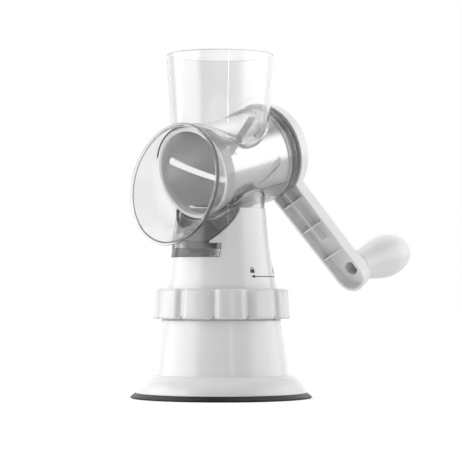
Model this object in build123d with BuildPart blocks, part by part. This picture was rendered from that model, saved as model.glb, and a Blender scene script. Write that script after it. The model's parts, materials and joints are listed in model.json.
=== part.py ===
from build123d import *
import os
from math import asin, cos, degrees, radians, sin, tan

# Rotary cabbage shredder on a suction foot.
# Millimetres. Z is up, the origin is on the table under the middle of the tower,
# and the outlet mouth faces -Y. The crank is at the +Y end of the barrel.

# ---- driving dimensions ----

overall_height = 299.3  # rim of the hopper above the table

# suction pad
pad_radius = 79.0
pad_lip_height = 4.7
pad_edge = 0.8  # upright edge at the foot of the lip
pad_membrane = 3.0
pad_dish_radius = 41.0
pad_bead_radius = 69.8  # the upright bead inside the shell's foot
pad_bead = 2.6
pad_bead_height = 4.2
pad_bead_draft = 0.6
pad_rim = 0.3  # of the lip, outside the shell

# fits and joins
pin_fit = 0.03  # round a pin or a screw, on the radius
push_fit = 0.05
rod_fit = 0.3
sink = 1.0  # how far a rib, pillar or boss runs into the wall that carries it

# white mouldings
wall = 2.4
shell_foot_radius = 74.6
skirt_crown = (71.2, 12.6)  # radius, height of the middle of the skirt's curve
skirt_top = (64.0, 19.4)
tower_foot = (59.2, 20.4)
shell_top_radius = 52.4
deck_top = 68.4
deck_thickness = 3.0

# inside the base shell
guide_radius = 32.0
guide_wall = 2.6
guide_top = 108.0
rod_guide_radius = 8.5
rod_guide_bottom = 48.0
rib_thickness = 2.0
pin_slot_play = 0.6
pin_slot_depth = 4.0  # below the pin
rib_bottom = 44.0
rib_foot_radius = 54.4

# screws that hold the two halves of the tower together
screw_circle = 20.0
screw_count = 4
screw_radius = 1.85
screw_hole_fit = 0.25  # in the deck, on the radius
pilot_depth = 18.0
screw_end_gap = 1.0  # below the end of the pilot hole
screw_head_radius = 3.6
screw_head_height = 2.4
pillar_radius = 4.6

# lock ring
ring_bottom = 68.7
ring_top = 94.9
ring_bottom_radius = 60.3
ring_top_radius = 58.2
ring_bore = 51.0
ring_floor = 3.3
ring_hub_gap = 0.4
ring_top_edge = 3.2
ring_bottom_edge = 1.8
lobe_count = 12
lobe_shoulder = 6.5
valley_angle = 8.0  # where the first valley stands
valley_radius = 4.0
valley_depth = 3.2
notch_width = 4.8
notch_height = 3.6
notch_depth = 4.2
lock_turn = 45.0

# lifting gear
rod_radius = 4.0
shaft_chamfer = 0.8
rod_top = 91.0
pin_height = 84.0
pin_radius = 2.5
pin_half_length = 42.5
lift = 4.0
plate_radius = 40.5
plate_thickness = 2.5
plate_hub_radius = 11.0
plate_hub_top = 14.0
plate_rib_count = 8
plate_rib_thickness = 1.6
plate_rim = 3.0  # of the plate, outside its ribs
rod_collar_radius = 6.5
rod_collar_height = 3.0
nut_across_flats = 13.0
nut_height = 4.0
nut_gap = 0.4
washer_radius = 9.0
washer_thickness = 0.8
washer_fit = 0.1
ramp_inner_radius = 34.5
ramp_outer_radius = 46.0
ramp_steps = 5
ramp_clearance = 0.15
ramp_spare = 1.0  # degrees, past the pin's own width
stop_rise = 1.0  # of a stop's top above the middle of the pin

# upper tower
tower_bottom = (50.4, 88.0)
tower_middle = (44.1, 121.7)
tower_top = (38.9, 164.5)
platform_top = 122.0
platform_thickness = 3.0

# slot, neck and saddle that take the foot of the housing
slot_half_width = 30.0
slot_top = 134.0
neck_half_width = 21.6
neck_height = 6.0
saddle_radius = 36.3
saddle_height = 165.0
rail_bottom = 129.6
rail_front = -27.0
guide_back = 26.5
slide_gap = 0.3

# barrel, on an axis that climbs towards the crank
barrel_height = 203.0
barrel_tilt = 14.0
barrel_radius = 42.5
barrel_wall = 2.2
barrel_front = -38.0
barrel_back = 52.0
back_wall = (48.0, 50.4)
back_bore = 12.1
cradle_radius = 43.3
cradle_angle = 36.0  # below the horizontal
cradle_front = -27.0
rim_band = 1.8

# outlet mouth
mouth_center = (0, -57.5, 184.3)
mouth_radius = 52.6
mouth_lean = -9.0
mouth_bead = 0.8
mouth_lip = 1.2  # half the thickness of the rounded lip

# hopper
hopper_center = -1.5
hopper_rim_radius = 47.1
hopper_waist = (42.9, 237.0)
hopper_foot = (39.4, 212.0)
hopper_wall = 2.2
hopper_rim_edge = 0.7
throat_radius = 36.0
collar_radius = 38.2
collar_headroom = 13.0  # from its top to the middle of the barrel

# drum
drum_radius = 38.6
drum_sheet = 0.8
drum_front = -35.0
drum_back = 45.0
slot_count = 5
slot_width = 5.8
slot_length = 68.0
slot_skew = 28.0
slot_phase = 7.5  # angle of the first slot's middle, in the drum's own plane
blade_rise = 0.8
blade_width = 2.6
front_ring = (36.8, 39.8)  # inner and outer radius
front_ring_span = (-37.0, -26.0)
front_ring_lip = -30.0  # end of its inner wall
front_ring_edge = 0.35
cap_plug_length = 7.0
cap_boss_overhang = 3.1  # past the housing's back wall
cap_flange_radius = 39.6
cap_boss_radius = 12.02
socket_across_flats = 10.3
socket_end = 33.0

# crank
hub_front = 57.0
hub_back = 68.0
hub_front_radius = 44.0
hub_back_radius = 42.0
hub_floor = 2.6
shaft_across_flats = 10.0
shaft_front = 35.0
shaft_back = 65.0
arm_angle = 24.0  # from straight down towards +X
arm_sweep = 15.5
arm_depth = 11.0
arm_half_width = 16.2
arm_end_radius = 15.0
arm_tail = 6.3  # from the knob's axis to the middle of the arm's round end
arm_wall = 2.3
arm_start = 30.0
crank_radius = 125.5
rib_places = (54.6, 82.2, 112.8)
rib_width = 1.4
rib_setback = 0.8  # behind the edge of the channel
long_rib_offset = 1.2
long_rib_middle = 69.2
long_rib_length = 55.2
post_radius = 8.42
post_bore = 6.0
post_end = 135.0
post_lid = 4.0  # end wall of the hollow post
small_screw_radius = 2.0
small_pilot_depth = 14.0
screw_seat_depth = 1.6
screw_seat_radius = 5.6
knob_front = 96.9
knob_back = 163.5
knob_base_radius = 12.8
knob_wide_radius = 17.4
knob_wide_place = 149.0
knob_dome_radius = 11.4  # where the end's shoulder meets its crown
knob_dome = 2.6
knob_bore = 8.5

os.makedirs("parts", exist_ok=True)


def save(part, name):
    """Label a finished piece and write it to its own file."""
    part.label = name
    export_step(part, f"parts/{name}.step")


# ---- places worked out from the driving dimensions ----

barrel_origin = Vector(0, 0, barrel_height)
along = Vector(0, cos(radians(barrel_tilt)), sin(radians(barrel_tilt)))
across = Vector(1, 0, 0)
above = Vector(0, -sin(radians(barrel_tilt)), cos(radians(barrel_tilt)))
barrel_axis = Axis(barrel_origin, along)
barrel_section = Plane(origin=barrel_origin, x_dir=above, z_dir=(-1, 0, 0))  # x radius, y along


def barrel_plane(place):
    """Plane square to the barrel's axis, at a distance along it."""
    return Plane(origin=barrel_origin + along * place, x_dir=across, z_dir=along)


def radial(angle):
    """Unit vector square to the barrel's axis, counted from +X towards the hopper."""
    return across * cos(radians(angle)) + above * sin(radians(angle))


down_arm = across * sin(radians(arm_angle)) - above * cos(radians(arm_angle))
arm_side = across * cos(radians(arm_angle)) + above * sin(radians(arm_angle))
arm_along = down_arm * cos(radians(arm_sweep)) + along * sin(radians(arm_sweep))
arm_back = along * cos(radians(arm_sweep)) - down_arm * sin(radians(arm_sweep))
arm_origin = barrel_origin + along * (hub_front - (hub_front_radius - 1) * tan(radians(arm_sweep)))
arm_plane = Plane(origin=arm_origin, x_dir=arm_along, z_dir=arm_back)
knob_reach = crank_radius / cos(radians(arm_sweep))
knob_axis_foot = barrel_origin + down_arm * crank_radius
knob_axis = Axis(knob_axis_foot, along)
knob_section = Plane(origin=knob_axis_foot, x_dir=arm_side, z_dir=arm_side.cross(along))


def knob_plane(place):
    """Plane square to the knob's axis, at a distance along the barrel."""
    return Plane(origin=knob_axis_foot + along * place, x_dir=arm_side, z_dir=along)


# ---- base: suction pad ----

with BuildPart() as suction_pad:
    with BuildSketch(Plane.XZ):
        with BuildLine():
            Polyline(
                (0, 0), (pad_radius - pad_edge, 0), (pad_radius, pad_edge),
                (pad_radius, 2 * pad_edge), (shell_foot_radius + pad_rim, pad_lip_height),
                (pad_bead_radius, pad_lip_height), (pad_bead_radius, pad_lip_height + pad_bead_height),
                (pad_bead_radius - pad_bead, pad_lip_height + pad_bead_height),
                (pad_bead_radius - pad_bead - pad_bead_draft, pad_membrane),
                (pad_dish_radius + pad_bead, pad_membrane), (pad_dish_radius + pad_bead, 2 * pad_membrane),
                (pad_dish_radius, 2 * pad_membrane), (pad_dish_radius, pad_membrane), (0, pad_membrane),
                close=True,
            )
        make_face()
    revolve(axis=Axis.Z)

# ---- base: lower shell ----

skirt_inner_crown = (skirt_crown[0] - wall, skirt_crown[1] - sink)
skirt_inner_top = (skirt_top[0] - wall, skirt_top[1] - wall)
shell_edge = 1.0  # rounding at the rim under the ring
deck_bottom = deck_top - deck_thickness

with BuildPart() as base_shell:
    with BuildSketch(Plane.XZ):
        with BuildLine():
            skirt = ThreePointArc((shell_foot_radius, pad_lip_height), skirt_crown, skirt_top)
            Polyline(
                skirt @ 1, tower_foot, (shell_top_radius + 0.1, deck_top - shell_edge),
                (shell_top_radius - shell_edge, deck_top), (guide_radius, deck_top),
                (guide_radius, guide_top), (guide_radius - guide_wall, guide_top),
                (guide_radius - guide_wall, deck_top), (rod_radius + rod_fit, deck_top),
                (rod_radius + rod_fit, rod_guide_bottom), (rod_guide_radius, rod_guide_bottom),
                (rod_guide_radius, deck_bottom), (shell_top_radius - wall, deck_bottom),
                (tower_foot[0] - wall, tower_foot[1]), skirt_inner_top,
            )
            ThreePointArc(skirt_inner_top, skirt_inner_crown, (shell_foot_radius - wall, pad_lip_height))
            Line((shell_foot_radius - wall, pad_lip_height), skirt @ 0)
        make_face()
    revolve(axis=Axis.Z)
    # ribs from the rod guide out to the wall
    for turn in range(4):
        with BuildSketch(Plane.XZ.rotated((0, 0, 90 * turn))):
            with BuildLine():
                Polyline(
                    (rod_guide_radius - sink, rod_guide_bottom + 2 * sink),
                    (rod_guide_radius - sink, deck_bottom + sink),
                    (shell_top_radius - wall + sink, deck_bottom + sink),
                    (rib_foot_radius, rib_bottom), close=True,
                )
            make_face()
        extrude(amount=rib_thickness / 2, both=True)
    # two upright slots in the guide tube, open at the top, for the cross pin
    with BuildSketch(Plane.XY.offset(pin_height - pin_radius - pin_slot_depth)):
        Rectangle(2 * guide_radius + 2 * sink, 2 * pin_radius + pin_slot_play)
    extrude(amount=guide_top, mode=Mode.SUBTRACT)
    with BuildSketch(Plane.XY.offset(deck_top)):
        with PolarLocations(screw_circle, screw_count, start_angle=45):
            Circle(screw_radius + screw_hole_fit)
    extrude(amount=-deck_thickness, mode=Mode.SUBTRACT)

# ---- base: upper tower ----


def tower_section(inset, bottom, top):
    """Half section of the upper tower between two heights, drawn in from its outer face."""
    with BuildSketch(Plane.XZ) as section:
        with BuildLine():
            side = ThreePointArc(
                (tower_bottom[0] - inset, tower_bottom[1]),
                (tower_middle[0] - inset, tower_middle[1]),
                (tower_top[0] - inset, tower_top[1]),
            )
            Polyline(side @ 1, (0, tower_top[1]), (0, tower_bottom[1]), side @ 0)
        make_face()
        with Locations((tower_bottom[0], (bottom + top) / 2)):
            Rectangle(2 * tower_bottom[0], top - bottom, mode=Mode.INTERSECT)
    return section.sketch


tower_outline = tower_section(0, tower_bottom[1], tower_top[1])
tower_core = tower_section(wall / 2, tower_bottom[1], tower_top[1])
lower_room = tower_section(wall, tower_bottom[1], platform_top - platform_thickness)
upper_room = tower_section(wall, platform_top, tower_top[1])

# rails over the foot, and the wall and ledge behind it, trimmed to the round of the tower
with BuildPart() as tower_frame:
    with BuildSketch(Plane.XZ.offset(-rail_front)):
        for side in (-1, 1):
            with Locations((side * (neck_half_width + tower_middle[0]) / 2, (rail_bottom + slot_top) / 2)):
                Rectangle(tower_middle[0] - neck_half_width, slot_top - rail_bottom)
    extrude(amount=rail_front - guide_back)
    with BuildSketch(Plane.YZ):
        with BuildLine():
            Polyline(
                (guide_back, platform_top - sink), (guide_back, tower_top[1]),
                (tower_middle[0], tower_top[1]), (tower_middle[0], tower_top[1] - wall),
                (guide_back + wall, tower_top[1] - wall), (guide_back + wall, platform_top - sink),
                close=True,
            )
        make_face()
    extrude(amount=tower_middle[0], both=True)
    revolve(profiles=tower_core, axis=Axis.Z, mode=Mode.INTERSECT)

with BuildPart() as upper_tower:
    revolve(profiles=tower_outline, axis=Axis.Z)
    revolve(profiles=lower_room, axis=Axis.Z, mode=Mode.SUBTRACT)
    revolve(profiles=upper_room, axis=Axis.Z, mode=Mode.SUBTRACT)
    # pillars that stand on the deck of the lower shell
    with BuildSketch(Plane.XY.offset(deck_top)):
        with PolarLocations(screw_circle, screw_count, start_angle=45):
            Circle(pillar_radius)
    extrude(amount=platform_top - sink - deck_top)
    with BuildSketch(Plane.XY.offset(deck_top)):
        with PolarLocations(screw_circle, screw_count, start_angle=45):
            Circle(screw_radius + pin_fit)
    extrude(amount=pilot_depth, mode=Mode.SUBTRACT)
    # front opening: slot, neck and saddle
    with BuildSketch(Plane.XZ):
        with Locations((0, (platform_top + slot_top) / 2)):
            Rectangle(2 * slot_half_width, slot_top - platform_top)
        with Locations((0, slot_top)):
            Rectangle(2 * neck_half_width, neck_height)
        with Locations((0, saddle_height)):
            Circle(saddle_radius)
    extrude(amount=2 * tower_middle[0], mode=Mode.SUBTRACT)
    add(tower_frame.part)

# ---- base: the screws that join the two halves ----

with BuildPart() as tower_screws:
    with BuildSketch(Plane.XY.offset(deck_bottom)):
        with PolarLocations(screw_circle, screw_count, start_angle=45):
            Circle(screw_head_radius)
    extrude(amount=-screw_head_height)
    with BuildSketch(Plane.XY.offset(deck_bottom)):
        with PolarLocations(screw_circle, screw_count, start_angle=45):
            Circle(screw_radius)
    extrude(amount=pilot_depth + deck_thickness - screw_end_gap)

# ---- lock ring, with the two ramps that lift the cross pin ----

ramp_pitch = lift / lock_turn  # climb for each degree
ramp_play = degrees(asin(pin_radius / ramp_inner_radius)) + ramp_spare
ramp_low = pin_height - pin_radius - ramp_clearance
ramp_root = ring_bottom + sink
stop_turn = 6.0


def ramp_face(turn, height):
    """Upright section of a ramp, on the half plane that stands at an angle."""
    with BuildSketch(Plane.XZ.rotated((0, 0, turn))) as face:
        with Locations(((ramp_inner_radius + ramp_outer_radius) / 2, (ramp_root + height) / 2)):
            Rectangle(ramp_outer_radius - ramp_inner_radius, height - ramp_root)
    return face.sketch


ramp_sections, stop_sections = [], []
for side in (0, 180):
    turns = [-ramp_play + k * (lock_turn + 2 * ramp_play) / ramp_steps for k in range(ramp_steps + 1)]
    ramp_sections.append([ramp_face(side + turn, ramp_low + ramp_pitch * turn) for turn in turns])
    stop_top = pin_height + stop_rise
    for start, height in ((-ramp_play - stop_turn, stop_top), (turns[-1], stop_top + lift)):
        stop_sections.append([ramp_face(side + start + k * stop_turn, height) for k in (0, 1)])

def ring_outline(height, radius):
    """Outline of the ring at a height: lobes with round shoulders between narrow valleys."""
    with BuildSketch(Plane.XY.offset(height)) as outline:
        Circle(radius)
        with PolarLocations(radius - valley_depth + valley_radius, lobe_count, start_angle=valley_angle):
            Circle(valley_radius, mode=Mode.SUBTRACT)
        fillet(outline.vertices(), lobe_shoulder)
    return outline.sketch


# dark notches where the round lower corners of two lobes meet
valley_floor = ring_bottom_radius - valley_depth
with BuildPart() as ring_notches:
    for number in range(lobe_count):
        turn = valley_angle + 360 / lobe_count * number
        with BuildSketch(Plane.XZ.rotated((0, 0, turn + 90)).offset(valley_floor - notch_depth)):
            with BuildLine():
                Polyline(
                    (-notch_width / 2, ring_bottom - sink), (0, ring_bottom + notch_height),
                    (notch_width / 2, ring_bottom - sink), close=True,
                )
            make_face()
        extrude(amount=2 * notch_depth)

with BuildPart() as lock_ring:
    ring_foot = ring_outline(ring_bottom, ring_bottom_radius)
    ring_head = ring_outline(ring_top, ring_top_radius)
    loft(sections=[ring_foot, ring_head], ruled=True)
    fillet(lock_ring.faces().sort_by(Axis.Z)[-1].edges(), ring_top_edge)
    fillet(lock_ring.faces().sort_by(Axis.Z)[0].edges(), ring_bottom_edge)
    add(ring_notches.part, mode=Mode.SUBTRACT)
    # room over its floor for the foot of the tower, and the bore that turns on the guide tube
    with BuildSketch(Plane.XY.offset(ring_bottom + ring_floor)):
        Circle(ring_bore)
    extrude(amount=ring_top - ring_bottom, mode=Mode.SUBTRACT)
    with BuildSketch(Plane.XY.offset(ring_bottom)):
        Circle(guide_radius + ring_hub_gap)
    extrude(amount=ring_top - ring_bottom, mode=Mode.SUBTRACT)
    for sections in ramp_sections + stop_sections:
        loft(sections=sections, ruled=True)

# ---- lifting gear: plate, rod, cross pin, washer and nut ----

with BuildPart() as pull_plate:
    with BuildSketch(Plane.XY.offset(pad_membrane)):
        Circle(plate_radius)
    extrude(amount=plate_thickness)
    with BuildSketch(Plane.XY.offset(pad_membrane)):
        Circle(plate_hub_radius)
    extrude(amount=plate_hub_top - pad_membrane)
    for turn in range(plate_rib_count):
        with BuildSketch(Plane.XZ.rotated((0, 0, 360 / plate_rib_count * turn))):
            with BuildLine():
                Polyline(
                    (plate_hub_radius - sink, pad_membrane + sink),
                    (plate_hub_radius - sink, plate_hub_top - 2 * sink),
                    (plate_radius - plate_rim, pad_membrane + plate_thickness + sink),
                    (plate_radius - plate_rim, pad_membrane + sink), close=True,
                )
            make_face()
        extrude(amount=plate_rib_thickness / 2, both=True)
    with BuildSketch(Plane.XY):
        Circle(rod_radius + push_fit)
    extrude(amount=plate_hub_top, mode=Mode.SUBTRACT)
    with BuildSketch(Plane.XY):
        RegularPolygon(nut_across_flats / 2 + push_fit, 6, major_radius=False)
    extrude(amount=pad_membrane + nut_gap + nut_height, mode=Mode.SUBTRACT)

with BuildPart() as pull_rod:
    with BuildSketch(Plane.XY.offset(pad_membrane + nut_gap)):
        Circle(rod_radius)
    extrude(amount=rod_top - pad_membrane - nut_gap)
    with BuildSketch(Plane.XY.offset(plate_hub_top + washer_thickness)):
        Circle(rod_collar_radius)
    extrude(amount=rod_collar_height)
    chamfer(pull_rod.faces().sort_by(Axis.Z)[-1].edges(), shaft_chamfer)
    with BuildSketch(Plane.YZ):
        with Locations((0, pin_height)):
            Circle(pin_radius + pin_fit)
    extrude(amount=2 * rod_radius, both=True, mode=Mode.SUBTRACT)

with BuildPart() as cross_pin:
    with BuildSketch(Plane.YZ):
        with Locations((0, pin_height)):
            Circle(pin_radius)
    extrude(amount=pin_half_length, both=True)
    chamfer(cross_pin.edges().filter_by(GeomType.CIRCLE), shaft_chamfer / 2)

with BuildPart() as rod_nut:
    with BuildSketch(Plane.XY.offset(pad_membrane + nut_gap)):
        RegularPolygon(nut_across_flats / 2, 6, major_radius=False)
        Circle(rod_radius + pin_fit, mode=Mode.SUBTRACT)
    extrude(amount=nut_height)

with BuildPart() as rod_washer:
    with BuildSketch(Plane.XY.offset(plate_hub_top)):
        Circle(washer_radius)
        Circle(rod_radius + washer_fit, mode=Mode.SUBTRACT)
    extrude(amount=washer_thickness)

# ---- housing: hopper, barrel, outlet mouth and foot in one clear moulding ----

# space that the foot may fill: flush with the tower's face in front, inside its wall behind
tower_lining = tower_section(wall + slide_gap, tower_bottom[1], tower_top[1])
foot_half_width = neck_half_width - slide_gap
foot_wall = 2.4
flange_thickness = 6.7
flange_bottom = platform_top + slide_gap
flange_top = flange_bottom + flange_thickness
foot_radius = saddle_radius - slide_gap

with BuildPart() as foot_room:
    revolve(profiles=tower_outline, axis=Axis.Z)
    with BuildSketch(Plane.XZ):
        Rectangle(4 * tower_middle[0], 4 * tower_middle[1])
    extrude(amount=-2 * tower_middle[0], mode=Mode.SUBTRACT)
    revolve(profiles=tower_lining, axis=Axis.Z)

with BuildPart() as foot_front:
    with BuildSketch(Plane.XZ) as foot_outline:
        with Locations((0, (flange_bottom + flange_top) / 2)):
            Rectangle(2 * (slot_half_width - slide_gap), flange_thickness)
        with Locations((0, (flange_top + slot_top + neck_height / 2) / 2)):
            Rectangle(2 * foot_half_width, slot_top + neck_height / 2 - flange_top)
        with Locations((0, saddle_height)):
            Circle(foot_radius)
    extrude(amount=2 * tower_middle[0])
    revolve(profiles=tower_outline, axis=Axis.Z, mode=Mode.INTERSECT)
    revolve(profiles=tower_lining, axis=Axis.Z, mode=Mode.SUBTRACT)

with BuildPart() as foot:
    with BuildSketch(Plane.XZ.offset(slide_gap - guide_back)):
        add(foot_outline.sketch_local)
        with Locations((0, saddle_height)):
            Circle(foot_radius - foot_wall, mode=Mode.SUBTRACT)
        with Locations((0, flange_top + neck_height)):
            Rectangle(2 * (foot_half_width - foot_wall), 2 * (neck_height - sink), mode=Mode.SUBTRACT)
    extrude(amount=guide_back + 2 * tower_middle[0])
    add(foot_room.part, mode=Mode.INTERSECT)
    add(foot_front.part)

hopper_axis = Axis((0, hopper_center, 0), (0, 0, 1))
hopper_plane = Plane(origin=(0, hopper_center, 0), x_dir=(1, 0, 0), z_dir=(0, -1, 0))
mouth_normal = Vector(0, cos(radians(mouth_lean)), sin(radians(mouth_lean)))
mouth_plane = Plane(origin=mouth_center, x_dir=across, z_dir=mouth_normal)
bore_radius = barrel_radius - barrel_wall

with BuildPart() as housing:
    with BuildSketch(hopper_plane):
        with BuildLine():
            Polyline(
                (hopper_rim_radius, overall_height), hopper_waist, hopper_foot,
                (hopper_foot[0] - hopper_wall, hopper_foot[1]),
                (hopper_waist[0] - hopper_wall, hopper_waist[1]),
                (hopper_rim_radius - hopper_wall, overall_height), close=True,
            )
        make_face()
    revolve(axis=hopper_axis)
    fillet(housing.edges().group_by(Axis.Z)[-1], hopper_rim_edge)
    # barrel with its thicker cradle and the band at its back end
    with BuildSketch(barrel_plane(barrel_front)):
        Circle(barrel_radius)
    extrude(amount=barrel_back - barrel_front)
    with BuildSketch(barrel_plane(barrel_back)):
        Circle(cradle_radius)
    extrude(amount=-rim_band)
    with BuildSketch(barrel_plane(cradle_front)):
        with BuildLine():
            arc = CenterArc((0, 0), cradle_radius, cradle_angle, 180 - 2 * cradle_angle)
            Polyline(arc @ 1, (0, 0), arc @ 0)
        make_face()
    extrude(amount=barrel_back - cradle_front)
    # collar that stands on the top of the tower
    with BuildSketch(Plane.XY.offset(tower_top[1] + slide_gap)):
        Circle(collar_radius)
        Circle(collar_radius - foot_wall, mode=Mode.SUBTRACT)
    extrude(amount=barrel_height - collar_headroom - tower_top[1])
    add(foot.part)
    # outlet mouth, with a round lip
    with BuildSketch(barrel_plane(barrel_front)) as mouth_root:
        Circle(barrel_radius)
    with BuildSketch(mouth_plane) as mouth_rim:
        Circle(mouth_radius)
    loft(sections=[mouth_root.sketch, mouth_rim.sketch], ruled=True)
    with BuildSketch(mouth_plane):
        Circle(mouth_radius + mouth_bead)
    extrude(amount=mouth_lip, both=True)
    bead = housing.edges().filter_by(GeomType.CIRCLE).sort_by(lambda rim: rim.radius)[-2:]
    fillet(bead, 0.9 * mouth_lip)
    # inside of the mouth, barrel and throat, and the bearing in the back wall
    with BuildSketch(barrel_plane(barrel_front)) as mouth_back:
        Circle(bore_radius)
    with BuildSketch(mouth_plane) as mouth_opening:
        Circle(mouth_radius - barrel_wall)
    loft(sections=[mouth_back.sketch, mouth_opening.sketch], ruled=True, mode=Mode.SUBTRACT)
    with BuildSketch(mouth_plane):
        Circle(mouth_radius - barrel_wall)
    extrude(amount=-3 * mouth_lip, mode=Mode.SUBTRACT)
    with BuildSketch(barrel_plane(barrel_front)):
        Circle(bore_radius)
    extrude(amount=back_wall[0] - barrel_front, mode=Mode.SUBTRACT)
    with BuildSketch(barrel_plane(back_wall[1])):
        Circle(bore_radius)
    extrude(amount=barrel_back - back_wall[1], mode=Mode.SUBTRACT)
    with BuildSketch(barrel_plane(back_wall[0])):
        Circle(back_bore)
    extrude(amount=barrel_back - back_wall[0], mode=Mode.SUBTRACT)
    with BuildSketch(Plane.XY.offset(barrel_height)):
        with Locations((0, hopper_center)):
            Circle(throat_radius)
    extrude(amount=barrel_radius + cradle_radius / 3, mode=Mode.SUBTRACT)

# ---- drum: slotted steel cylinder, front ring and driven back cap ----

slot_middle = 4.5  # along the barrel's axis
sheet_middle = drum_radius - drum_sheet / 2
cap_plug_radius = drum_radius - drum_sheet - push_fit


def slot_plane(number):
    """Plane that touches the drum at a slot's middle, with x along the slot."""
    angle = 180 + slot_phase + 360 / slot_count * number
    outwards = radial(angle)
    sideways = radial(angle + 90)
    lengthways = along * cos(radians(slot_skew)) + sideways * sin(radians(slot_skew))
    place = barrel_origin + along * slot_middle + outwards * drum_radius
    return Plane(origin=place, x_dir=lengthways, z_dir=outwards)


blade_length = slot_length - 2 * slot_width

with BuildPart() as blade_strips:
    for number in range(slot_count):
        with BuildSketch(slot_plane(number)):
            with Locations((0, -(slot_width + blade_width) / 2)):
                Rectangle(blade_length, blade_width)
        extrude(amount=-drum_radius / 3)
        with BuildSketch(slot_plane(number)):
            with Locations((0, -(slot_width + blade_width) / 2)):
                Rectangle(blade_length, blade_width)
        extrude(amount=blade_rise)

with BuildPart() as drum_cylinder:
    with BuildSketch(barrel_section):
        with Locations((sheet_middle + blade_rise / 2, slot_middle)):
            Rectangle(drum_sheet + blade_rise, slot_length)
    revolve(axis=barrel_axis)
    add(blade_strips.part, mode=Mode.INTERSECT)
    with BuildSketch(barrel_section):
        with Locations((sheet_middle, (drum_front + drum_back) / 2)):
            Rectangle(drum_sheet, drum_back - drum_front)
    revolve(axis=barrel_axis)
    for number in range(slot_count):
        with BuildSketch(slot_plane(number)):
            SlotOverall(slot_length, slot_width)
        extrude(amount=-drum_radius / 3, mode=Mode.SUBTRACT)
        with BuildSketch(slot_plane(number)):
            SlotOverall(slot_length, slot_width)
        extrude(amount=blade_rise + sink, mode=Mode.SUBTRACT)

with BuildPart() as drum_front_ring:
    with BuildSketch(barrel_section):
        with BuildLine():
            Polyline(
                (front_ring[0], front_ring_span[0]), (front_ring[1], front_ring_span[0]),
                (front_ring[1], front_ring_span[1]), (drum_radius + push_fit, front_ring_span[1]),
                (drum_radius + push_fit, drum_front), (cap_plug_radius, drum_front),
                (cap_plug_radius, front_ring_lip), (front_ring[0], front_ring_lip), close=True,
            )
        make_face()
    revolve(axis=barrel_axis)
    fillet(drum_front_ring.edges().group_by(Axis(barrel_origin, along))[0], front_ring_edge)

cap_wall = 2.0
cap_front = drum_back - cap_plug_length
cap_boss_end = back_wall[1] + cap_boss_overhang
socket_floor = 2.5
socket_front_wall = 2.6
socket_back_wall = 4.4

with BuildPart() as drum_rear_cap:
    with BuildSketch(barrel_section):
        with BuildLine():
            Polyline(
                (0, socket_end - socket_floor),
                (socket_across_flats / 2 + socket_front_wall, socket_end - socket_floor),
                (socket_across_flats / 2 + socket_back_wall, drum_back - cap_wall),
                (cap_plug_radius - cap_wall, drum_back - cap_wall), (cap_plug_radius - cap_wall, cap_front),
                (cap_plug_radius, cap_front), (cap_plug_radius, drum_back), (cap_flange_radius, drum_back),
                (cap_flange_radius, drum_back + cap_wall), (cap_boss_radius, drum_back + cap_wall),
                (cap_boss_radius, cap_boss_end), (0, cap_boss_end), close=True,
            )
        make_face()
    revolve(axis=barrel_axis)
    with BuildSketch(barrel_plane(socket_end)):
        RegularPolygon(socket_across_flats / 2, 6, major_radius=False)
    extrude(amount=cap_boss_end - socket_end, mode=Mode.SUBTRACT)

# ---- crank: dished hub and channel arm in one moulding, hexagonal shaft, screw and washer ----

hub_wall = 2.4
hub_boss_radius = 9.5
hub_boss_front = 54.4
hub_floor_front = hub_back - hub_floor
screw_seat = hub_back - screw_seat_depth
post_root = 88.0
pad_back = 96.4  # seat of the knob, square to its axis
channel_depth = arm_depth - arm_wall


def arm_outline(shrink, start):
    """Outline of the arm on its own plane, drawn in by a wall, open towards the hub."""
    half, end, tail = arm_half_width - shrink, arm_end_radius - shrink, knob_reach + arm_tail
    with BuildSketch(arm_plane) as outline:
        with BuildLine():
            tip = ThreePointArc((tail, end), (tail + end, 0), (tail, -end))
            Polyline(tip @ 1, (start, -half), (start, half), tip @ 0)
        make_face()
    return outline.sketch


arm_outer = arm_outline(0, arm_start)
arm_inner = arm_outline(arm_wall, arm_start - 2)
arm_ribs_area = arm_outline(arm_wall / 2, arm_start + 8)

with BuildPart() as arm_ribs:
    with BuildSketch(arm_plane.offset(rib_setback)):
        for place in rib_places:
            with Locations((place, 0)):
                Rectangle(rib_width, 2 * arm_half_width)
        with Locations((long_rib_middle, long_rib_offset)):
            Rectangle(long_rib_length, rib_width)
    extrude(amount=channel_depth)
    extrude(to_extrude=arm_ribs_area, amount=arm_depth, mode=Mode.INTERSECT)

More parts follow.
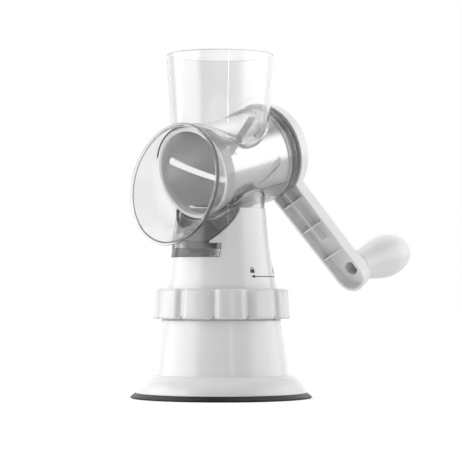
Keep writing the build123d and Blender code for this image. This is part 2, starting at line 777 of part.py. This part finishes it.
with BuildPart() as crank_arm:
    extrude(to_extrude=arm_outer, amount=arm_depth)
    # nothing of the arm stands in front of the hub's rim
    with BuildSketch(barrel_plane(hub_front)):
        Circle(2 * hub_front_radius)
    extrude(amount=-2 * arm_depth, mode=Mode.SUBTRACT)
    with BuildSketch(barrel_section):
        with BuildLine():
            Polyline(
                (0, hub_front), (hub_front_radius, hub_front), (hub_back_radius, hub_back), (0, hub_back),
                close=True,
            )
        make_face()
    revolve(axis=barrel_axis)
    with BuildSketch(barrel_section):
        with BuildLine():
            Polyline(
                (0, hub_front), (hub_front_radius - hub_wall, hub_front),
                (hub_back_radius - hub_wall, hub_floor_front), (0, hub_floor_front), close=True,
            )
        make_face()
    revolve(axis=barrel_axis, mode=Mode.SUBTRACT)
    # seat and hollow post for the knob
    with BuildSketch(knob_plane(post_root)):
        Circle(knob_base_radius)
    extrude(amount=pad_back - post_root)
    extrude(to_extrude=arm_inner, amount=channel_depth, mode=Mode.SUBTRACT)
    extrude(to_extrude=arm_inner, amount=-arm_wall, mode=Mode.SUBTRACT)
    with BuildSketch(knob_plane(pad_back - sink)):
        Circle(post_radius)
    extrude(amount=post_end - pad_back + sink)
    add(arm_ribs.part)
    with BuildSketch(barrel_plane(hub_boss_front)):
        Circle(hub_boss_radius)
    extrude(amount=hub_back - sink - hub_boss_front)
    with BuildSketch(barrel_plane(hub_boss_front)):
        RegularPolygon(shaft_across_flats / 2 + push_fit, 6, major_radius=False)
    extrude(amount=shaft_back - hub_boss_front, mode=Mode.SUBTRACT)
    with BuildSketch(barrel_plane(shaft_back)):
        Circle(small_screw_radius + 2 * washer_fit)
    extrude(amount=hub_back - shaft_back, mode=Mode.SUBTRACT)
    with BuildSketch(barrel_plane(screw_seat)):
        Circle(screw_seat_radius)
    extrude(amount=hub_back - screw_seat, mode=Mode.SUBTRACT)
    with BuildSketch(knob_plane(post_root - arm_depth)):
        Circle(post_bore)
    extrude(amount=post_end - post_lid - post_root + arm_depth, mode=Mode.SUBTRACT)
    with BuildSketch(knob_plane(post_end - post_lid - sink)):
        Circle(small_screw_radius + 2 * washer_fit)
    extrude(amount=post_lid + 2 * sink, mode=Mode.SUBTRACT)

with BuildPart() as drive_shaft:
    with BuildSketch(barrel_plane(shaft_front)):
        RegularPolygon(shaft_across_flats / 2, 6, major_radius=False)
    extrude(amount=shaft_back - shaft_front)
    chamfer(drive_shaft.faces().sort_by(barrel_axis)[0].edges(), shaft_chamfer)
    with BuildSketch(barrel_plane(shaft_back)):
        Circle(small_screw_radius + push_fit)
    extrude(amount=-small_pilot_depth, mode=Mode.SUBTRACT)


def pan_screw(plane, head_radius, head_height, shank_radius, shank_length):
    """Pan-head screw whose head sits on the plane and whose shank runs against its z."""
    with BuildPart() as screw:
        with BuildSketch(plane):
            Circle(head_radius)
        extrude(amount=head_height)
        with BuildSketch(plane):
            Circle(shank_radius)
        extrude(amount=-shank_length)
    return screw.part


def washer(plane, outer_radius, inner_radius, thickness):
    """Flat washer that stands on the plane."""
    with BuildPart() as ring:
        with BuildSketch(plane):
            Circle(outer_radius)
            Circle(inner_radius, mode=Mode.SUBTRACT)
        extrude(amount=thickness)
    return ring.part


small_washer = 0.6
shaft_washer = washer(barrel_plane(screw_seat), 5.3, small_screw_radius + washer_fit, small_washer)
shaft_head = barrel_plane(screw_seat + small_washer)
shaft_screw = pan_screw(shaft_head, 4.2, 1.9, small_screw_radius, 15.0)

# ---- knob: grip that turns on the post, screw and washer ----

grip_room = 2.5  # between the end of the post and the bottom of the grip's bore

with BuildPart() as knob_grip:
    with BuildSketch(knob_section):
        with BuildLine():
            side = Spline(
                (knob_base_radius, knob_front), (knob_wide_radius, knob_wide_place),
                (knob_dome_radius, knob_back - knob_dome), (0, knob_back),
                tangents=[(0.13, 1), (-1, 0)],
            )
            Polyline(side @ 1, (0, knob_front), side @ 0)
        make_face()
    revolve(axis=knob_axis)
    with BuildSketch(knob_plane(knob_front)):
        Circle(knob_bore)
    extrude(amount=post_end + grip_room - knob_front, mode=Mode.SUBTRACT)
    with BuildSketch(knob_plane(post_end)):
        Circle(small_screw_radius + push_fit)
    extrude(amount=grip_room + small_pilot_depth, mode=Mode.SUBTRACT)

washer_seat = post_end - post_lid - washer_thickness - push_fit
knob_washer = washer(knob_plane(washer_seat), 5.2, small_screw_radius + push_fit, washer_thickness)
knob_head = Plane(origin=knob_plane(washer_seat).origin, x_dir=arm_side, z_dir=-along)
knob_screw = pan_screw(knob_head, 3.9, 2.6, small_screw_radius, 20.0)

pieces = {
    "suction_pad": suction_pad.part,
    "base_shell": base_shell.part,
    "upper_tower": upper_tower.part,
    "tower_screws": tower_screws.part,
    "lock_ring": lock_ring.part,
    "pull_plate": pull_plate.part,
    "pull_rod": pull_rod.part,
    "cross_pin": cross_pin.part,
    "rod_nut": rod_nut.part,
    "rod_washer": rod_washer.part,
    "housing": housing.part,
    "drum_cylinder": drum_cylinder.part,
    "drum_front_ring": drum_front_ring.part,
    "drum_rear_cap": drum_rear_cap.part,
    "crank_arm": crank_arm.part,
    "drive_shaft": drive_shaft.part,
    "shaft_screw": shaft_screw,
    "shaft_washer": shaft_washer,
    "knob_grip": knob_grip.part,
    "knob_screw": knob_screw,
    "knob_washer": knob_washer,
}
for name, piece in pieces.items():
    save(piece, name)
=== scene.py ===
import bpy
import json
import math
import numpy as np
from mathutils import Matrix, Vector


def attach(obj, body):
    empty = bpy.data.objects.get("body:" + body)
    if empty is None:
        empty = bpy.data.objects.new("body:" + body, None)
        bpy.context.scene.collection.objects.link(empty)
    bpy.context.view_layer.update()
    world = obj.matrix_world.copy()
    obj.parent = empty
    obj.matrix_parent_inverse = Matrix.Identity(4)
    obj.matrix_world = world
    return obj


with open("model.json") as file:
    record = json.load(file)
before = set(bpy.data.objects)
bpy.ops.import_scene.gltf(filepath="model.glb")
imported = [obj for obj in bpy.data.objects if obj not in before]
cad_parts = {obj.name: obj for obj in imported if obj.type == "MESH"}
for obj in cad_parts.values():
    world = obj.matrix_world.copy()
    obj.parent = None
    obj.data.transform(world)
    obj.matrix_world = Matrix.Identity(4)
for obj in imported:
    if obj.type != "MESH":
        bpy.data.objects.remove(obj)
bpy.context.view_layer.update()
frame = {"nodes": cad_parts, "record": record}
nodes = frame["nodes"]
mm = 0.001
print("frame loaded:", len(nodes), "nodes")


# ---- shader maths ----

class Wire:
    # one output socket; an expression on wires adds its Math, Vector Math or Mix nodes
    def __init__(self, board, socket):
        self.board = board
        self.socket = socket

    def part(self, name):  # another output of the same node
        return Wire(self.board, self.socket.node.outputs[name])

    def join(self, other, operation, flipped=False):
        pair = (other, self) if flipped else (self, other)
        vectors = [isinstance(p, Wire) and p.socket.type == "VECTOR" for p in pair]
        kind = "ShaderNodeVectorMath" if any(vectors) else "ShaderNodeMath"
        if any(vectors) and operation == "MULTIPLY" and not all(vectors):
            scaled, factor = pair if vectors[0] else pair[::-1]
            return self.board.node(kind, {"operation": "SCALE"}, {0: scaled, "Scale": factor})
        if any(vectors):
            pair = [p if isinstance(p, Wire) else (p, p, p) for p in pair]
        return self.board.node(kind, {"operation": operation}, {0: pair[0], 1: pair[1]})

    def __add__(self, other):
        return self.join(other, "ADD")

    def __sub__(self, other):
        return self.join(other, "SUBTRACT")

    def __mul__(self, other):
        return self.join(other, "MULTIPLY")

    def __rsub__(self, other):
        return self.join(other, "SUBTRACT", True)

    __radd__, __rmul__ = __add__, __mul__

    def step(self, low, high):  # 0 below low, 1 above high, smooth between
        inputs = {"Value": self, "From Min": low, "From Max": high}
        return self.board.node("ShaderNodeMapRange", {"interpolation_type": "SMOOTHSTEP"}, inputs)

    def paint(self, dark, pale):  # a colour between two, by this wire
        inputs = {0: self, 6: (*dark, 1), 7: (*pale, 1)}
        return self.board.node("ShaderNodeMix", {"data_type": "RGBA"}, inputs, 2)


class Board:
    # one material: its Principled shader and the nodes that feed it
    def __init__(self, name, settings):
        self.material = bpy.data.materials.new(name)
        self.material.use_nodes = True
        self.tree = self.material.node_tree
        self.shader = self.tree.nodes["Principled BSDF"]
        for socket, value in settings.items():
            self.feed(self.shader.inputs[socket], value)
        self.place = self.node("ShaderNodeTexCoord", out="Object")

    def feed(self, socket, value):
        if isinstance(value, Wire):
            self.tree.links.new(value.socket, socket)
        else:
            socket.default_value = value

    def node(self, kind, settings=None, inputs=None, out=0):
        made = self.tree.nodes.new(kind)
        for key, value in (settings or {}).items():
            setattr(made, key, value)
        for key, value in (inputs or {}).items():
            self.feed(made.inputs[key], value)
        return Wire(self, made.outputs[out])

    def finish(self, **sockets):  # wires into the shader, by socket name with _ for a space
        for name, value in sockets.items():
            self.feed(self.shader.inputs[name.replace("_", " ")], value)
        return self.material

    def noise(self, scale, detail, stretch=(1, 1, 1)):  # 0 to 1, scale in waves a metre
        place = self.node("ShaderNodeMapping", None, {"Vector": self.place, "Scale": stretch})
        return self.node("ShaderNodeTexNoise", None, {"Vector": place, "Scale": scale, "Detail": detail})

    def specks(self, scale, size):  # 1 in small scattered dots, 0 elsewhere
        core = size * 0.6
        cells = self.node("ShaderNodeTexVoronoi", None, {"Vector": self.place, "Scale": scale}, "Distance")
        return 1 - cells.step(core, size)

    def bump(self, height, distance, strength, under=None):  # distance in metres, under another bump
        inputs = {"Height": height, "Distance": distance, "Strength": strength}
        if under:
            inputs["Normal"] = under
        return self.node("ShaderNodeBump", None, inputs, "Normal")

    def softEdge(self, radius):  # a small round on the moulded edges
        return self.node("ShaderNodeBevel", {"samples": 6}, {"Radius": radius}, "Normal")


def glossPlastic(name, pale, dark, roughness, edge):
    # white moulded plastic: a slight cloudiness, orange peel, and a few faint rub marks
    board = Board(name, {"IOR": 1.5, "Specular IOR Level": 0.5, "Coat Roughness": 0.08})
    cloud = board.noise(28, 2)
    peel = board.noise(900, 2)
    rub = board.noise(160, 4, (1, 1, 0.12)).step(0.58, 0.78)
    dust = board.specks(420, 0.08)
    colour = (cloud * 0.8 + dust * 0.5).paint(pale, dark)
    shine = roughness + cloud * 0.05 + rub * 0.07
    normal = board.bump(peel, 0.00002, 0.5, board.softEdge(edge))
    return board.finish(Base_Color=colour, Roughness=shine, Normal=normal, Coat_Weight=0.25 + rub * -0.2)


mouth = {
    "lean": math.radians(9.0),  # how far the plane of the outlet's rim leans from upright
    "back": -0.0575,  # a point in that plane, metres
    "height": 0.1843,
    "bead": 0.0003,  # half width of the painted shade line along the crest of the rolled rim
    "top": (0.238, 0.242),  # heights between which that line ends, below the hopper
    "front": (-0.045, -0.033),  # where the flare passes into the barrel
}


def clearPlastic(name):
    # clear moulding: painted shade makes it greyer where the wall is seen edge on, in the mouth and in a line
    # along the outlet's rim; faint haze and hair scratches
    board = Board(name, {"IOR": 1.46, "Transmission Weight": 0.91})
    wave = board.noise(34, 1)
    haze = board.noise(60, 3).step(0.5, 0.85)
    hair = board.noise(260, 2, (1, 1, 0.03)).step(0.68, 0.72)
    # painted shade: the wall's colour turns dark where it is seen edge on
    edgeShadeFacing = board.node("ShaderNodeLayerWeight", None, {"Blend": 0.5}, "Facing")
    edge = edgeShadeFacing.step(0.78, 1.0)
    depth = board.node("ShaderNodeSeparateXYZ", None, {"Vector": board.place}, "Y")
    height = depth.part("Z")
    # painted shade: the mouth, ahead of where the flare passes into the barrel, is tinted greyer
    mouthShade = 1 - depth.step(*mouth["front"])
    # distance behind the rim's plane: how far back, less how far up, each by its share of the lean
    behind = (depth - mouth["back"]) * math.cos(mouth["lean"])
    behind = behind - (height - mouth["height"]) * math.sin(mouth["lean"])
    # painted shade: a dark line along the crest of the rolled rim, ending below the hopper
    crest = 1 - (behind * behind).step(mouth["bead"] ** 2, (2 * mouth["bead"]) ** 2)
    rimShade = crest * (1 - height.step(*mouth["top"]))
    # haze and wave are the moulding's own cloudiness; the mouth, edge and rim terms are painted shade
    tint = haze * 0.04 + wave * 0.03 + mouthShade * 0.09 + edge * 0.45 + rimShade * 0.8
    colour = tint.paint((0.94, 0.94, 0.94), (0.05, 0.05, 0.05))
    normal = board.bump(wave, 0.00025, 0.25)
    return board.finish(Base_Color=colour, Roughness=0.015 + haze * 0.03 + hair * 0.05, Normal=normal)


def drumSteel(name):
    # rolled stainless sheet: fine brushing round the drum, soft dents, a few bright scores
    board = Board(name, {"Metallic": 1.0})
    brushed = board.noise(3200, 2, (1, 0.03, 1))
    dents = board.noise(45, 2)
    score = board.noise(500, 3, (1, 0.02, 1)).step(0.66, 0.7)
    colour = (brushed * 0.6 + dents * 0.4).paint((0.84, 0.84, 0.85), (0.94, 0.94, 0.95))
    normal = board.bump(brushed, 0.00001, 0.4, board.bump(dents, 0.0014, 0.5))
    return board.finish(Base_Color=colour, Roughness=0.26 + brushed * 0.12 + score * 0.12, Normal=normal)


def turnedSteel(name):
    # turned screws, rod and shaft: fine rings and a little stain
    board = Board(name, {"Metallic": 1.0})
    rings = board.noise(1500, 2, (0.1, 0.1, 1))
    stain = board.noise(140, 3)
    colour = stain.paint((0.58, 0.58, 0.59), (0.70, 0.70, 0.71))
    normal = board.bump(rings, 0.00002, 0.5, board.softEdge(0.0002))
    return board.finish(Base_Color=colour, Roughness=0.22 + rings * 0.18, Normal=normal)


def padRubber(name):
    # black rubber: satin, a fine grain, paler dust where the rim is handled
    board = Board(name, {"IOR": 1.5, "Specular IOR Level": 0.5})
    grain = board.noise(1400, 3)
    bloom = board.noise(70, 4).step(0.45, 0.8)
    dust = board.specks(520, 0.1)
    colour = (bloom * 0.5 + dust * 0.6).paint((0.004, 0.004, 0.0045), (0.016, 0.016, 0.017))
    normal = board.bump(grain, 0.00005, 0.5)
    return board.finish(Base_Color=colour, Roughness=0.36 + bloom * 0.14 + grain * 0.06, Normal=normal)


def innerPlastic(name):
    # plain matt moulding, out of sight in the foot
    board = Board(name, {"IOR": 1.5})
    grain = board.noise(700, 3)
    cloud = board.noise(40, 2)
    colour = cloud.paint((0.70, 0.70, 0.70), (0.62, 0.62, 0.63))
    normal = board.bump(grain, 0.00006, 0.6, board.softEdge(0.0004))
    return board.finish(Base_Color=colour, Roughness=0.5 + grain * 0.12, Normal=normal)


def printInk(name):
    # black printing ink, a little worn
    board = Board(name, {"IOR": 1.45})
    wear = board.noise(900, 3)
    colour = wear.paint((0.02, 0.02, 0.02), (0.05, 0.05, 0.05))
    return board.finish(Base_Color=colour, Roughness=0.4 + wear * 0.2)


finishes = {
    "white_shell": glossPlastic("whiteShell", (0.84, 0.84, 0.845), (0.80, 0.80, 0.805), 0.20, 0.0006),
    "white_ring": glossPlastic("whiteRing", (0.77, 0.77, 0.775), (0.73, 0.73, 0.735), 0.16, 0.0006),
    "crank_white": glossPlastic("whiteCrank", (0.88, 0.88, 0.882), (0.85, 0.85, 0.852), 0.28, 0.0006),
    "drum_plastic": glossPlastic("whiteDrumEnds", (0.85, 0.85, 0.85), (0.80, 0.80, 0.80), 0.25, 0.0004),
    "clear_plastic": clearPlastic("clearHousing"),
    "drum_steel": drumSteel("drumSheet"),
    "fastener_steel": turnedSteel("turnedSteel"),
    "inner_plastic": innerPlastic("innerPlastic"),
    "pad_rubber": padRubber("padRubber"),
}
for entry in frame["record"]["subparts"]:
    nodes[entry["node"]].data.materials.clear()
    nodes[entry["node"]].data.materials.append(finishes[entry["material_slot"]])
print("materials:", len(finishes))


# ---- camera ----

camera = {
    "turn": 44.53,  # degrees that the view is turned round the object, from straight at the front
    "distance": 1.7589,  # metres from the object's axis, measured level
    "height": 0.09331,
    "focal": 2014.48,  # pixels
    "frame": 462,  # pixels across
    "axisPixel": (221.16, 290.53),  # where the camera's level line through the axis falls
    "sensor": 36.0,
    "farthest": 50,
}
turn = math.radians(camera["turn"])
sideways = Vector((math.cos(turn), math.sin(turn), 0))
ahead = Vector((-math.sin(turn), math.cos(turn), 0))
cameraPlace = ahead * -camera["distance"] + Vector((0, 0, camera["height"]))
middle = camera["frame"] / 2
aim = ahead + sideways * (middle - camera["axisPixel"][0]) / camera["focal"]
aim += Vector((0, 0, 1)) * (camera["axisPixel"][1] - middle) / camera["focal"]
lens = bpy.data.cameras.new("photoCamera")
lens.sensor_width = camera["sensor"]
lens.lens = camera["focal"] * camera["sensor"] / camera["frame"]
lens.clip_end = camera["farthest"]
photoCamera = bpy.data.objects.new("photoCamera", lens)
photoCamera.location = cameraPlace
photoCamera.rotation_mode = "QUATERNION"
photoCamera.rotation_quaternion = aim.to_track_quat("-Z", "Y")
bpy.context.scene.collection.objects.link(photoCamera)
bpy.context.scene.camera = photoCamera
print("camera placed")


# ---- marks printed on the tower ----

# lengths in mm, angles in degrees round the tower from where it faces the camera
marks = {
    "profile": [(50.4, 88.0), (44.1, 121.7), (38.9, 164.5)],  # radius and height of the tower's arc
    "proud": 0.06,  # how far the ink stands out of the wall, and how far it is sunk in it
    "sunk": 0.1,
    "overlap": 0.1,  # of one band of ink on the next
    "tip": 0.05,  # half width of an arrow's point
    "start": camera["turn"] - 90.0,
    "closedLock": {"at": 35.4, "height": 109.9, "lift": 0.0},
    "openLock": {"at": 78.0, "height": 109.6, "lift": 0.9},
}
arrowShape = {
    "height": 105.4,
    "from": 33.3,
    "to": 81.0,
    "line": 0.35,  # half width of the shaft
    "head": (3.8, 1.55),  # length and half width
    "smallHead": (2.8, 1.3),
    "steps": (60, 9),  # points along the shaft and along a head
}
lockShape = {
    "half": (2.2, 1.55),  # half width and half height of the body
    "corner": 0.45,
    "ends": (0.82, 7),  # where the rounded ends start, as a share of the half width, and points in each
    "flat": (0.7, 9),
    "shackle": 1.3,  # radius of its bow
    "leg": 0.3,
    "bar": 0.32,  # half width of the bar
    "bowSteps": 15,
}


def arcThrough(points):
    # centre and radius of the circle through three points: for each of them, twice its dot product
    # with the centre, plus k, is its own square, and k is the radius squared less the centre's square
    rows = [(2 * a, 2 * b, 1) for a, b in points]
    a, b, k = np.linalg.solve(rows, [p * p + q * q for p, q in points])
    return a, b, math.sqrt(k + a * a + b * b)


def towerRadius(height):
    a, b, radius = arcThrough(marks["profile"])
    return a - np.sqrt(radius ** 2 - (height - b) ** 2)


def ribbon(line, half):
    # a closed band of ink: its middle line as (mm round the tower, height), with the half width at each point
    line = np.array(line, dtype=float)
    along = np.gradient(line, axis=0)
    along /= np.linalg.norm(along, axis=1)[:, None]
    across = np.stack([-along[:, 1], along[:, 0]], 1) * np.broadcast_to(half, len(line))[:, None]
    upper, lower = line + across, line - across
    proud, sunk = marks["proud"], -marks["sunk"]
    rings = []
    for place, lift in ((upper, proud), (upper, sunk), (lower, sunk), (lower, proud)):
        radius = towerRadius(place[:, 1]) + lift
        angle = math.radians(marks["start"]) + place[:, 0] / towerRadius(arrowShape["height"])
        rings.append(np.stack([radius * np.cos(angle), radius * np.sin(angle), place[:, 1]], 1) * mm)
    points = np.stack(rings, 1).reshape(-1, 3)
    faces = []
    for start in range(0, len(points) - 4, 4):
        for corner in range(4):
            after = (corner + 1) % 4
            faces.append((start + corner, start + after, start + 4 + after, start + 4 + corner))
    last = len(points)
    return points, faces + [(3, 2, 1, 0), (last - 4, last - 3, last - 2, last - 1)]


def padlock(at, height, lift):
    shape = lockShape
    middle = math.radians(at) * towerRadius(arrowShape["height"])
    half, corner, bow = shape["half"], shape["corner"], shape["shackle"]
    (inner, endSteps), (flat, flatSteps) = shape["ends"], shape["flat"]
    shares = [(-1, -inner, endSteps), (-flat, flat, flatSteps), (inner, 1, endSteps)]
    across = np.concatenate([np.linspace(*share) for share in shares]) * half[0]
    short = np.clip((np.abs(across) - half[0] + corner) / corner, 0, 1)  # 0 inside, 1 at the end of a corner
    heights = half[1] - corner * (1 - np.sqrt(1 - short ** 2))
    body = ribbon([(middle + x, height) for x in across], heights)
    foot = height + half[1] - marks["overlap"]
    top = height + half[1] + shape["leg"] + lift
    turns = np.linspace(math.pi, 0, shape["bowSteps"])
    bar = [(middle - bow, foot)]
    bar += [(middle + bow * math.cos(t), top + bow * math.sin(t)) for t in turns]
    bar += [(middle + bow, foot + lift)]
    return [body, ribbon(bar, shape["bar"])]


def level(start, end, count):
    return [(s, arrowShape["height"]) for s in np.linspace(start, end, count)]


def arrow():
    shape = arrowShape
    shaftSteps, headSteps = shape["steps"]
    left, right = [math.radians(shape[end]) * towerRadius(shape["height"]) for end in ("from", "to")]
    (leftLong, leftHalf), (rightLong, rightHalf) = shape["head"], shape["smallHead"]
    shaft = level(left + leftLong - marks["overlap"], right - rightLong + marks["overlap"], shaftSteps)
    return [
        ribbon(shaft, shape["line"]),
        ribbon(level(left, left + leftLong, headSteps), np.linspace(marks["tip"], leftHalf, headSteps)),
        ribbon(level(right - rightLong, right, headSteps), np.linspace(rightHalf, marks["tip"], headSteps)),
    ]


def printMarks():
    points, faces, count = [], [], 0
    for some, quads in arrow() + padlock(**marks["closedLock"]) + padlock(**marks["openLock"]):
        points.append(some)
        faces += [tuple(count + i for i in quad) for quad in quads]
        count += len(some)
    mesh = bpy.data.meshes.new("lockMarks")
    mesh.from_pydata(np.concatenate(points).tolist(), [], faces)
    mesh.update()
    mesh.materials.append(printInk("markInk"))
    piece = bpy.data.objects.new("lockMarks", mesh)
    bpy.context.scene.collection.objects.link(piece)
    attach(piece, "base")


printMarks()
print("marks printed")


# ---- studio ----

room = {
    # upright panels of light: degrees from the camera towards the right, half width, level
    "panels": [(-82.0, 36.0, 2.8), (90.0, 34.0, 1.95), (180.0, 52.0, 0.95)],
    "panelFade": 9.0,  # degrees over which a panel fades at its sides
    "panelTop": (0.55, 0.75),  # sine of the elevation where the side panels end
    "frontLevel": 0.2,  # dark part of the room, round the camera
    "overhead": 0.4,
    "overheadEdges": (0.6, 0.95),
    "backdrop": 1.0,
    "floorReach": 6.0,
    "floorLift": 0.42,  # added to the floor where the camera sees it
}


def facing(board, way, direction):  # cosine between a ray's way and a direction
    pair = {0: way, 1: tuple(direction)}
    return board.node("ShaderNodeVectorMath", {"operation": "DOT_PRODUCT"}, pair, "Value")


def studio():
    world = bpy.data.worlds.new("studioWorld")
    bpy.context.scene.world = world
    world.use_nodes = True
    board = Board.__new__(Board)  # the same wires, on the world's tree
    board.tree = world.node_tree
    seen = board.node("ShaderNodeLightPath", out="Is Camera Ray")
    way = board.node("ShaderNodeTexCoord", out="Generated")
    level = board.node("ShaderNodeVectorMath", {"operation": "MULTIPLY"}, {0: way, 1: (1, 1, 0)})
    flat = board.node("ShaderNodeVectorMath", {"operation": "NORMALIZE"}, {0: level})
    rise = board.node("ShaderNodeSeparateXYZ", None, {"Vector": way}, "Z")
    light = rise.step(*room["overheadEdges"]) * room["overhead"] + room["frontLevel"]
    for turnTo, half, strength in room["panels"]:
        middleWay = Matrix.Rotation(math.radians(turnTo), 3, "Z") @ -ahead
        edges = [math.cos(math.radians(half + side * room["panelFade"])) for side in (1, -1)]
        panel = facing(board, flat, middleWay).step(*edges) * strength
        light = light + (panel if strength < 1 else panel * (1 - rise.step(*room["panelTop"])))
    background = world.node_tree.nodes["Background"]
    background.inputs["Color"].default_value = (1, 1, 1, 1)
    board.feed(background.inputs["Strength"], light * (1 - seen) + seen * room["backdrop"])


def softbox(name, place, aimAt, size, power):
    lamp = bpy.data.lights.new(name, "AREA")
    lamp.shape, lamp.size, lamp.size_y, lamp.energy = "RECTANGLE", size[0], size[1], power
    box = bpy.data.objects.new(name, lamp)
    box.location = place
    box.rotation_mode = "QUATERNION"
    box.rotation_quaternion = (Vector(aimAt) - Vector(place)).to_track_quat("-Z", "Y")
    bpy.context.scene.collection.objects.link(box)


studio()
strip = {
    "turn": 18.0,
    "away": 1.3,
    "height": 0.12,  # over the point that it is aimed at
    "aimHeight": 0.16,
    "size": (0.03, 0.5),
    "power": 0.35,
}
stripWay = Matrix.Rotation(math.radians(strip["turn"]), 3, "Z") @ -ahead
centre = Vector((0, 0, strip["aimHeight"]))
stripPlace = centre + stripWay * strip["away"] + Vector((0, 0, strip["height"]))
softbox("stripLight", stripPlace, centre, strip["size"], strip["power"])

floorMesh = bpy.data.meshes.new("studioFloor")
reach = room["floorReach"]
corners = [(-reach, -reach, 0), (reach, -reach, 0), (reach, reach, 0), (-reach, reach, 0)]
floorMesh.from_pydata(corners, [], [(0, 1, 2, 3)])
studioFloor = bpy.data.objects.new("studioFloor", floorMesh)
bpy.context.scene.collection.objects.link(studioFloor)


def floorPaper():
    # pale paper sweep, lifted a little to white where the camera sees it
    board = Board("floorPaper", {"Roughness": 0.9, "Specular IOR Level": 0.1, "Emission Strength": 1.0})
    seen = board.node("ShaderNodeLightPath", out="Is Camera Ray")
    fibre = board.noise(300, 3)
    colour = fibre.paint((0.69, 0.69, 0.69), (0.73, 0.73, 0.73))
    lift = seen.paint((0, 0, 0), (room["floorLift"],) * 3)
    return board.finish(Base_Color=colour, Emission_Color=lift)


floorMesh.materials.append(floorPaper())
bpy.context.scene.view_settings.view_transform = "Standard"
print("studio lit")
